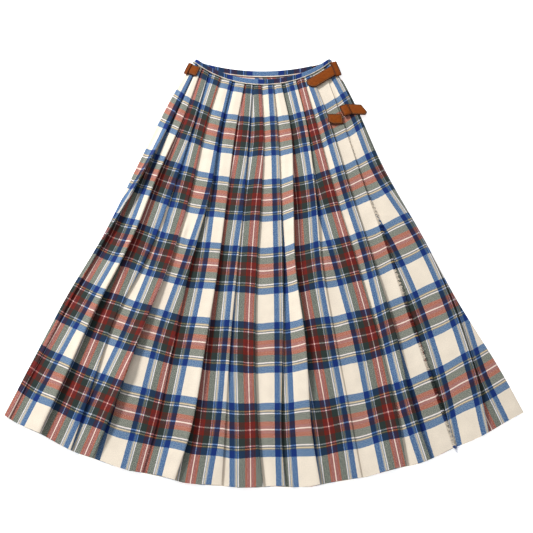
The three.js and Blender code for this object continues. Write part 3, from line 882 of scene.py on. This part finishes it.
@dataclass(frozen=True)
class Plate(Leather):
    """A flat leather piece, from its outline's corners, with a crown inside a pressed line."""

    corners: tuple[tuple[float, float], ...]
    rounding: float = 2.5
    thickness: float = 2.6
    crown: float = 0.5
    slope: float = 0.0
    stitched: bool = True
    pressed: float = 2.5
    pitch: float = 3.4

    def outline(self, inset: float, steps: int = 7) -> Array:
        """Outline with each corner replaced by a quadratic curve, shrunk towards its middle by an inset.

        Args:
            inset: Distance from the edge.
            steps: Points on each corner and on each side.

        Returns:
            Points in the plate's own millimetres, counter-clockwise.
        """
        corners = np.array(self.corners, dtype=float)
        before, after = np.roll(corners, 1, axis=0), np.roll(corners, -1, axis=0)
        start = corners + self.rounding * unit(before - corners)
        end = corners + self.rounding * unit(after - corners)
        t = np.linspace(0, 1, steps)[None, :, None]
        curve = (1 - t) ** 2 * start[:, None] + 2 * t * (1 - t) * corners[:, None] + t * t * end[:, None]
        side = t[:, 1:-1]
        straight = (1 - side) * end[:, None] + side * np.roll(start, -1, axis=0)[:, None]
        points = np.concatenate([curve, straight], axis=1).reshape(-1, 2)
        low, high = points.min(axis=0), points.max(axis=0)
        middle, half = (low + high) / 2, (high - low) / 2
        return middle + (points - middle) * (1 - inset / half)

    def laid(self, points: Array, height: Array) -> tuple[Array, Array, Array]:
        """The plate's own points where it lies, raised by the slope from its right end."""
        slope = self.slope * (max(corner[0] for corner in self.corners) - points[..., 0])
        return self.world(points[..., 0], points[..., 1], height + slope)

    def build(self) -> Piece:
        """Rings of the outline from under, round the bevelled edge, over a pressed line to the crown.

        Each ring has an inset, a height and an edge mask for painted shade and darker edge colour.

        Returns:
            The leather piece, with its edge mask as an attribute.
        """
        full = self.thickness
        # Edge masks: painted shade on the sides and in the pressed line, together with the leather's darker
        # edge.
        rings = np.array([
            (3.0, 0.0, 0.2), (0.5, 0.0, 0.8), (0.0, 0.5, 1.0), (0.0, full - 0.7, 1.0),
            (0.25, full - 0.25, 1.0), (0.8, full, 1.0), (1.7, full, 0.55), (self.pressed, full - 0.28, 0.8),
            (3.3, full + 0.05, 0.15), (4.6, full + 0.6 * self.crown, 0.0), (6.5, full + self.crown, 0.0),
        ])
        insets, heights, masks = rings.T
        loops = np.stack([self.outline(inset) for inset in insets])
        count = loops.shape[1]
        flat = np.concatenate([loops.reshape(-1, 2), np.repeat(loops[-1:].mean(axis=1), 2, axis=0)])
        height = np.append(np.repeat(heights, count), [0, full + self.crown])
        edge = np.append(np.repeat(masks, count), [0.2, 0.0])
        k = np.arange(count)
        after = (k + 1) % count
        base = (len(rings) - 1) * count
        lower = np.stack([after, k, np.full(count, base + count)], axis=-1)
        upper = np.stack([base + k, base + after, np.full(count, base + count + 1)], axis=-1)
        faces = [grid_faces(len(rings), count)[:, ::-1], lower, upper]
        return new_object(self.name, metres(*self.laid(flat, height)), faces, edge=edge)

    def stitches(self) -> Piece:
        """Stitches in the pressed line: small spindles laid end to end along the inset outline.

        Returns:
            The stitches as one piece.
        """
        path = self.outline(self.pressed)
        closed = np.concatenate([path, path[:1]])
        lengths = np.concatenate([[0], np.cumsum(np.linalg.norm(np.diff(closed, axis=0), axis=1))])
        count = int(lengths[-1] / self.pitch)
        middle = (np.arange(count) + 0.5) * lengths[-1] / count

        def along(distance: Array) -> Array:
            """Points of the inset outline at distances along it."""
            return np.stack([np.interp(distance, lengths, closed[:, axis]) for axis in (0, 1)], axis=-1)

        steps = sides = 5
        run = unit(along(middle + 0.3) - along(middle - 0.3))
        side = np.stack([-run[:, 1], run[:, 0]], axis=-1)
        t = np.linspace(-1, 1, steps)[None, :, None]
        angles = np.arange(sides)[None, None, :] * 2 * math.pi / sides
        girth = 0.42 * np.sqrt(np.maximum(1 - t * t * 0.8, 0))
        flat = (along(middle)[:, None, None, :] + run[:, None, None, :] * (t * self.pitch * 0.38)[..., None]
                + side[:, None, None, :] * (girth * np.cos(angles))[..., None])
        points = metres(*self.laid(flat, self.thickness - 0.12 + girth * np.sin(angles)))
        return new_object(f"{self.name}_stitching", points, tube_faces(count, steps, sides, turned=False))


@dataclass(frozen=True)
class Loop(Leather):
    """A leather loop round a strap: a flat rounded ring with some length along the strap."""

    strap_width: float
    wall: float
    length: float
    strap_thickness: float = 2.6
    side_room: float = 1.4
    top_room: float = 0.8
    points_round: int = 56
    points_section: int = 20

    def build(self) -> Piece:
        """A rounded section carried round a rounded rectangle that stands across the strap.

        Returns:
            The loop, with its edge mask as an attribute.
        """
        half_width = (self.strap_width + self.side_room + self.wall) / 2
        half_height = (self.strap_thickness + self.top_room + self.wall) / 2

        def power(wave: Array, exponent: float) -> Array:
            """A wave raised to a power, with its sign kept: the lower the power, the squarer the curve."""
            return np.sign(wave) * np.abs(wave) ** exponent

        angle = np.linspace(0, 2 * math.pi, self.points_round, endpoint=False)[:, None]
        section = np.linspace(0, 2 * math.pi, self.points_section, endpoint=False)[None, :]
        out = np.array([np.cos(angle) / half_width, np.sin(angle) / half_height])
        out = out / np.hypot(*out)
        bulge = power(np.cos(section), 0.6) * self.wall / 2
        along = power(np.sin(section), 0.35) * self.length / 2
        across = half_width * power(np.cos(angle), 0.3) + out[0] * bulge
        up = half_height * power(np.sin(angle), 0.5) + out[1] * bulge
        x, y, z = self.world(along, across, self.strap_thickness / 2 + up)
        # Edge mask: painted shade and darker edge colour towards the loop's ends.
        edge = np.broadcast_to(smooth((np.abs(along) / (self.length / 2) - 0.50) / 0.35), x.shape).ravel()
        faces = grid_faces(self.points_round, self.points_section, looped=True)
        return new_object(self.name, metres(x, y, z), [faces], edge=edge)


def rectangle(length: float, width: float) -> tuple[tuple[float, float], ...]:
    """Corners of a rectangle about its middle."""
    a, b = length / 2, width / 2
    return ((-a, -b), (a, -b), (a, b), (-a, b))


PLATES = (
    Plate("left_strap_leather", "left_strap", -169.3, 39.5, 8.1, -20, rectangle(30, 27)),
    Plate("right_strap_leather", "right_strap", 128.5, 21, 8.0, 36,
          ((-40.5, -5.5), (-32, -13.5), (39.5, -13.5), (39.5, 13.5), (-38, 13.5), (-43, 4)), rounding=4),
    Plate("hip_tab_leather", "hip_tab", 146, -95, 6.1, 5,
          ((-10.5, -8), (0, -13.5), (22, -13.5), (22, 13.5), (-11, 13.5)), slope=0.1),
    Plate("hip_buckle_leather", "hip_buckle", *HIP_BUCKLE_PLACE, 9.5, 20, rectangle(20, 29), rounding=3,
          crown=0.9, stitched=False),
    Plate("hip_strap_end_leather", "hip_strap_end", 205, -68, 6.1, -3,
          ((-25, -13.5), (15, -13.5), (18.5, -6), (5, 13.5), (-25, 13.5))),
)
LOOPS = (
    Loop("left_keeper_leather", "left_keeper", -178.3, 42.8, 8.1, -20, strap_width=27, wall=1.5, length=9),
    Loop("right_buckle_leather", "right_buckle", 157.8, 42.5, 8.0, 16, strap_width=36, wall=1.3, length=15),
)


class Nodes:
    """Short calls for making a node tree's nodes and links."""

    def __init__(self, tree: bpy.types.NodeTree) -> None:
        """Keeps the tree that the nodes go into."""
        self.tree = tree

    def feed(self, node: Node, inputs: dict[int | str, object]) -> None:
        """Links an output to each input, or sets the input to a value.

        Args:
            node: The node.
            inputs: Outputs or values by the input's name or number.
        """
        for socket, value in inputs.items():
            if isinstance(value, Socket):
                self.tree.links.new(value, node.inputs[socket])
            else:
                node.inputs[socket].default_value = value

    def node(self, kind: str, inputs: dict[int | str, object] | None = None, **settings: object) -> Node:
        """Adds a node.

        Args:
            kind: Its type.
            inputs: What feeds its inputs.
            settings: Its options.

        Returns:
            The node.
        """
        node = self.tree.nodes.new(kind)
        for name, value in settings.items():
            setattr(node, name, value)
        self.feed(node, inputs or {})
        return node

    def math(self, operation: str, *values: object) -> Socket:
        """A Math node of the given operation on links or numbers."""
        return self.node("ShaderNodeMath", dict(enumerate(values)), operation=operation).outputs[0]

    def mix(self, kind: str, share: object, a: object, b: object) -> Socket:
        """A Mix node for colours, of the given blend type."""
        inputs = {0: share, 6: a, 7: b}
        return self.node("ShaderNodeMix", inputs, data_type="RGBA", blend_type=kind).outputs[2]

    def noise(self, vector: Socket, scale: float, detail: float) -> Socket:
        """A Noise texture's value on the given coordinates."""
        inputs = {"Vector": vector, "Scale": scale, "Detail": detail}
        return self.node("ShaderNodeTexNoise", inputs).outputs["Fac"]

    def gamma(self, colour: Socket, power: float) -> Socket:
        """A colour raised to a power."""
        return self.node("ShaderNodeGamma", {0: colour, 1: power}).outputs[0]

    def spread(self, value: object, low: float, high: float) -> Socket:
        """Maps 0 to 1 onto low to high."""
        return self.math("MULTIPLY_ADD", value, high - low, low)

    def place(self) -> Socket:
        """The place on the object, in metres."""
        return self.node("ShaderNodeTexCoord").outputs["Object"]

    def attribute(self, name: str, output: str) -> Socket:
        """A mesh attribute, as a vector or as a number."""
        return self.node("ShaderNodeAttribute", attribute_name=name).outputs[output]


def surface_group(name: str, inputs: dict[str, str]) -> tuple[Nodes, Node, Node]:
    """A shader node group that puts out a surface's colour, roughness and relief.

    Args:
        name: Name of the group.
        inputs: Kinds of its inputs by name.

    Returns:
        The group's nodes, its input node and its output node.
    """
    tree = bpy.data.node_groups.new(name, "ShaderNodeTree")
    outputs = {"Color": "Color", "Roughness": "Float", "Height": "Float"}
    for way, sockets in (("INPUT", inputs), ("OUTPUT", outputs)):
        for title, kind in sockets.items():
            tree.interface.new_socket(title, in_out=way, socket_type=f"NodeSocket{kind}")
    nodes = Nodes(tree)
    return nodes, nodes.node("NodeGroupInput"), nodes.node("NodeGroupOutput")


def new_material(name: str) -> tuple[Material, Nodes, Node]:
    """A material, its nodes and its main shader."""
    material = bpy.data.materials.new(name)
    material.use_nodes = True
    return material, Nodes(material.node_tree), material.node_tree.nodes["Principled BSDF"]


def finish(nodes: Nodes, shader: Node, surface: Node, bump: float, depth: float) -> None:
    """Links a group's colour, roughness and relief to the shader.

    Args:
        nodes: The material's nodes.
        shader: Its main shader.
        surface: The group node.
        bump: Strength of the relief.
        depth: Height of the relief in metres.
    """
    outputs = surface.outputs
    relief = nodes.node("ShaderNodeBump", {"Strength": bump, "Distance": depth, "Height": outputs["Height"]})
    nodes.feed(shader, {"Base Color": outputs["Color"], "Roughness": outputs["Roughness"],
                        "Normal": relief.outputs[0]})


@dataclass(frozen=True)
class Yarns:
    """Dyed yarns of the check, as they look on a screen."""

    cream: Colour = (0.955, 0.90, 0.82)
    rose: Colour = (0.97, 0.84, 0.80)
    white: Colour = (0.96, 0.94, 0.97)
    plum: Colour = (0.40, 0.135, 0.135)
    red: Colour = (0.45, 0.115, 0.070)
    green: Colour = (0.168, 0.212, 0.198)
    dark: Colour = (0.20, 0.23, 0.27)
    grey: Colour = (0.42, 0.48, 0.56)
    gold: Colour = (0.84, 0.70, 0.46)
    blue: Colour = (0.050, 0.187, 0.445)


@dataclass(frozen=True)
class Band:
    """A band of one yarn, from the last one's end out to this distance from the white line."""

    until: float
    yarn: str


WARP_HALF = (
    Band(0.7, "rose"), Band(6.5, "plum"), Band(9.5, "red"), Band(21, "green"), Band(22.4, "white"),
    Band(24.8, "grey"), Band(26.0, "gold"), Band(28.5, "grey"), Band(38, "blue"), Band(58, "cream"),
)
WEFT_HALF = (
    Band(1.1, "rose"), Band(7.0, "plum"), Band(14.7, "red"), Band(28.2, "green"), Band(29.0, "dark"),
    Band(31.2, "white"), Band(34.0, "dark"), Band(35.8, "gold"), Band(37.6, "dark"), Band(50.5, "blue"),
    Band(80, "cream"),
)


@dataclass(frozen=True)
class CheckCloth:
    """Wool twill in a check: warp and weft stripes crossed, with yarn fuzz and a soft nap."""

    name: str = "wool_check"
    yarns: Yarns = Yarns()
    twill_pitch: float = 0.78
    stray: float = 0.55
    roughness: float = 0.86
    screen_gamma: float = 2.2
    sheen: float = 0.07

    def stripes(self, nodes: Nodes, distance: object, bands: tuple[Band, ...]) -> Socket:
        """Colour of a yarn from its distance, mirrored at both ends of the half repeat.

        Args:
            nodes: The group's nodes.
            distance: Distance across the yarns in millimetres.
            bands: The half repeat from the white line out.

        Returns:
            The colour socket.
        """
        half = bands[-1].until
        share = nodes.math("DIVIDE", nodes.math("PINGPONG", distance, half), half)
        ramp = nodes.node("ShaderNodeValToRGB", {0: share})
        ramp.color_ramp.interpolation = "CONSTANT"
        elements = ramp.color_ramp.elements
        start = 0.0
        for index, band in enumerate(bands):
            element = elements[index] if index < 2 else elements.new(start / half)
            element.position = start / half
            element.color = (*getattr(self.yarns, band.yarn), 1)
            start = band.until
        return ramp.outputs[0]

    def group(self) -> bpy.types.NodeTree:
        """Group from the weave attribute to the cloth's colour, roughness and relief.

        Returns:
            The node group.
        """
        nodes, inputs, outputs = surface_group("check_weave", {"Weave": "Vector"})
        weave = inputs.outputs["Weave"]
        warp_place, weft_place, bare = nodes.node("ShaderNodeSeparateXYZ", {0: weave}).outputs
        broad = nodes.noise(weave, 0.035, 2)
        fuzz = nodes.noise(weave, 0.62, 4)
        slub = nodes.noise(weave, 0.25, 2)
        stray = nodes.spread(slub, -self.stray, self.stray)
        warp = nodes.math("ADD", warp_place, stray)
        weft = nodes.math("SUBTRACT", weft_place, stray)
        warp_colour = self.stripes(nodes, warp, WARP_HALF)
        weft_colour = self.stripes(nodes, weft, WEFT_HALF)
        diagonal = nodes.math("MULTIPLY", nodes.math("ADD", warp, weft), math.pi / 2 / self.twill_pitch)
        rib = nodes.spread(nodes.math("SINE", diagonal), 0.5, 1.0)
        uneven = nodes.math("ADD", nodes.spread(rib, 0.0, 0.45), nodes.spread(fuzz, -1.0, 1.4))
        even = nodes.mix("MIX", uneven, warp_colour, weft_colour)
        product = nodes.gamma(nodes.mix("MULTIPLY", 1.0, warp_colour, weft_colour), 0.5)
        crossed = nodes.mix("MIX", 0.5, even, product)
        loose = nodes.mix("MIX", nodes.math("MAXIMUM", bare, 0.0), crossed, weft_colour)
        bare_warp = nodes.math("MAXIMUM", nodes.math("MULTIPLY", bare, -1.0), 0.0)
        plain = nodes.mix("MIX", bare_warp, loose, warp_colour)
        worn = nodes.math("MULTIPLY", nodes.spread(fuzz, 0.90, 1.08), nodes.spread(broad, 0.94, 1.04))
        scaled = nodes.node("ShaderNodeVectorMath", {0: plain, "Scale": worn}, operation="SCALE")
        nodes.feed(outputs, {
            "Color": nodes.gamma(scaled.outputs[0], self.screen_gamma),
            "Roughness": nodes.spread(fuzz, self.roughness - 0.08, self.roughness + 0.08),
            "Height": nodes.math("ADD", nodes.math("MULTIPLY", rib, 0.5), nodes.math("MULTIPLY", fuzz, 0.7)),
        })
        return nodes.tree

    def material(self) -> Material:
        """Material of all the skirt's cloth.

        Returns:
            The material.
        """
        material, nodes, shader = new_material(self.name)
        weave = {"Weave": nodes.attribute("weave", "Vector")}
        cloth = nodes.node("ShaderNodeGroup", weave, node_tree=self.group())
        finish(nodes, shader, cloth, bump=0.45, depth=0.0005)
        nodes.feed(shader, {"Sheen Weight": self.sheen, "Sheen Roughness": 0.5, "Specular IOR Level": 0.25})
        return material


@dataclass(frozen=True)
class TanLeather:
    """Tan bridle leather: mottled and grained, darker along its edges and pressed lines, partly its own
    darker edge and partly painted shade.
    """

    name: str = "bridle_leather"
    light: Colour = (0.35, 0.080, 0.003)
    deep: Colour = (0.20, 0.042, 0.002)
    # Near-black edge colour: painted shade along the outlines, sides, loop ends and pressed lines, over the
    # leather's own darker edge.
    edge: Colour = (0.035, 0.010, 0.004)
    dark_edge_and_shade: float = 0.85

    def group(self) -> bpy.types.NodeTree:
        """Group from a place in metres and the edge mask to the leather's colour, roughness and relief.

        Returns:
            The node group.
        """
        nodes, inputs, outputs = surface_group("leather_grain", {"Place": "Vector", "Edge": "Float"})
        place = inputs.outputs["Place"]
        mottle = nodes.noise(place, 160, 4)
        pores = nodes.noise(place, 2200, 2)
        scaled = {"Vector": place, "Scale": 1300.0}
        cells = nodes.node("ShaderNodeTexVoronoi", scaled, feature="DISTANCE_TO_EDGE")
        share = nodes.spread(nodes.math("MULTIPLY", mottle, pores), -0.35, 2.2)
        tone = nodes.mix("MIX", share, (*self.deep, 1), (*self.light, 1))
        # Painted shade and darker edge colour, as much as the edge mask gives.
        edge = nodes.math("MULTIPLY", inputs.outputs["Edge"], self.dark_edge_and_shade)
        nodes.feed(outputs, {
            "Color": nodes.mix("MIX", edge, tone, (*self.edge, 1)),
            "Roughness": nodes.spread(mottle, 0.48, 0.72),
            "Height": nodes.math("ADD", nodes.math("MULTIPLY", cells.outputs["Distance"], 1.2),
                                 nodes.math("MULTIPLY", pores, 0.4)),
        })
        return nodes.tree

    def material(self) -> Material:
        """Material of all the straps and loops.

        Returns:
            The material.
        """
        material, nodes, shader = new_material(self.name)
        sources = {"Place": nodes.place(), "Edge": nodes.attribute("edge", "Fac")}
        leather = nodes.node("ShaderNodeGroup", sources, node_tree=self.group())
        finish(nodes, shader, leather, bump=0.4, depth=0.0004)
        nodes.feed(shader, {"Specular IOR Level": 0.16})
        return material


@dataclass(frozen=True)
class Thread:
    """Waxed linen thread of the leather's stitching, with a slight twist."""

    name: str = "linen_thread"
    pale: Colour = (0.42, 0.24, 0.10)
    deep: Colour = (0.20, 0.10, 0.04)

    def material(self) -> Material:
        """Material of the stitches: two tones along a fine wave.

        Returns:
            The material.
        """
        material, nodes, shader = new_material(self.name)
        wave = nodes.node("ShaderNodeTexWave", {"Vector": nodes.place(), "Scale": 420.0}, wave_type="BANDS",
                          bands_direction="DIAGONAL").outputs["Fac"]
        nodes.feed(shader, {"Base Color": nodes.mix("MIX", wave, (*self.deep, 1), (*self.pale, 1)),
                            "Roughness": nodes.spread(wave, 0.7, 0.5)})
        return material


@dataclass
class Studio:
    """Camera above the skirt and a little below its middle, soft light from the upper left, a pale floor."""

    tilt: float = 24.0
    look_down: float = 449.0
    back_off: float = 609.3
    height: float = 1375.0
    lens: float = 50.27
    sensor: float = 36.0
    key_place: tuple[float, float, float] = (-2.2, 1.7, 2.0)
    key_size: float = 0.65
    key_power: float = 112.0
    surround: Colour = (0.96, 0.975, 1.0)
    surround_strength: float = 0.52
    floor_half: float = 9.0
    floor_drop: float = 0.0004

    def camera(self) -> None:
        """Camera at the photograph's angle, aimed at the skirt's middle."""
        data = bpy.data.cameras.new("camera")
        data.lens = self.lens
        data.sensor_width = self.sensor
        camera = linked("camera", data)
        y = SHIFT_Y - self.look_down - self.back_off
        camera.location = (SHIFT_X / 1000, y / 1000, self.height / 1000)
        camera.rotation_euler = (math.radians(self.tilt), 0, 0)
        bpy.context.scene.camera = camera

    def light(self) -> None:
        """A square soft lamp at the upper left, turned to the skirt's middle, and an even white surround."""
        data = bpy.data.lights.new("key", "AREA")
        data.size = self.key_size
        data.energy = self.key_power
        lamp = linked("key", data)
        lamp.location = self.key_place
        x, y, z = self.key_place
        lamp.rotation_euler = (math.atan2(math.hypot(x, y), z), 0, math.atan2(y, x) + math.pi / 2)
        world = bpy.data.worlds.new("surround")
        world.use_nodes = True
        surround = world.node_tree.nodes["Background"]
        surround.inputs["Color"].default_value = (*self.surround, 1)
        surround.inputs["Strength"].default_value = self.surround_strength
        bpy.context.scene.world = world
        bpy.context.scene.view_settings.view_transform = "Standard"

    def floor(self) -> None:
        """A wide pale floor with the faintest mottle."""
        corners = np.array(rectangle(2 * self.floor_half, 2 * self.floor_half))
        points = np.column_stack([corners, np.full(4, -self.floor_drop)])
        floor = new_object("floor", points, [np.arange(4)[None]])
        material, nodes, shader = new_material("pale_floor")
        tone = nodes.noise(nodes.place(), 3, 2)
        colour = nodes.mix("MIX", tone, (0.97, 0.97, 0.97, 1), (0.99, 0.99, 0.99, 1))
        nodes.feed(shader, {"Base Color": colour, "Roughness": 0.9, "Emission Color": (1, 1, 1, 1),
                            "Emission Strength": 0.6})
        floor.data.materials.append(material)


@dataclass
class Skirt:
    """All of the skirt's pieces, dressed and set on the frame."""

    cloth: CheckCloth = CheckCloth()
    leather: TanLeather = TanLeather()
    thread: Thread = Thread()

    def dress(self, piece: Piece, material: Material, slot: str, *nodes: str) -> None:
        """Gives a piece its material and its place on the frame, and hides the nodes that it stands for.

        Args:
            piece: The piece.
            material: Its finish.
            slot: Not used.
            nodes: The frame's nodes that it stands for.
        """
        piece.data.materials.append(material)
        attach(piece, "root")
        if nodes:
            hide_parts(*nodes)
        LOG.info("%s: %d faces", piece.name, len(piece.data.polygons))

    def cloths(self) -> None:
        """Builds the cloth walls from the floor up, logs each one's flat size, and adds the fringe."""
        material = self.cloth.material()
        bands = Waistbands()
        fringe = Fringe()
        walls = (
            (BackPanel().wall(), "back_panel", "check_cloth", ["floor"]),
            (bands.back(), "back_waistband", "band_cloth", ["back_panel_cloth"]),
            (UnderApron().wall(), "under_apron", "check_cloth", ["back_panel_cloth"]),
            (PleatedApron().wall(), "over_apron", "check_cloth", ["under_apron_cloth", "back_panel_cloth"]),
            (bands.front(), "front_waistband", "band_cloth", ["back_panel_cloth"]),
        )
        for wall, node, slot, rests in walls:
            piece = wall.build()
            self.dress(piece, material, slot, node)
            width, height, area = wall.flat_size()
            LOG.info("%s: flat %.3f by %.3f m, area %.3f", piece.name, width, height, area)
        backing = fringe.backing().build()
        self.dress(fringe.build(), material, "fringe_yarn", "apron_fringe")
        self.dress(backing, material, "fringe_yarn")

    def leathers(self) -> None:
        """Builds the straps, their stitches and the loops."""
        leather, thread = self.leather.material(), self.thread.material()
        for piece in PLATES + LOOPS:
            self.dress(piece.build(), leather, "tan_leather", piece.node)
            if isinstance(piece, Plate) and piece.stitched:
                self.dress(piece.stitches(), thread, "tan_leather")


def main() -> None:
    """Builds the skirt and the studio."""
    logging.basicConfig(level=logging.INFO, format="%(message)s")
    skirt = Skirt()
    studio = Studio()
    studio.floor()
    skirt.cloths()
    skirt.leathers()
    studio.light()
    studio.camera()


if __name__ == "__main__":
    main()
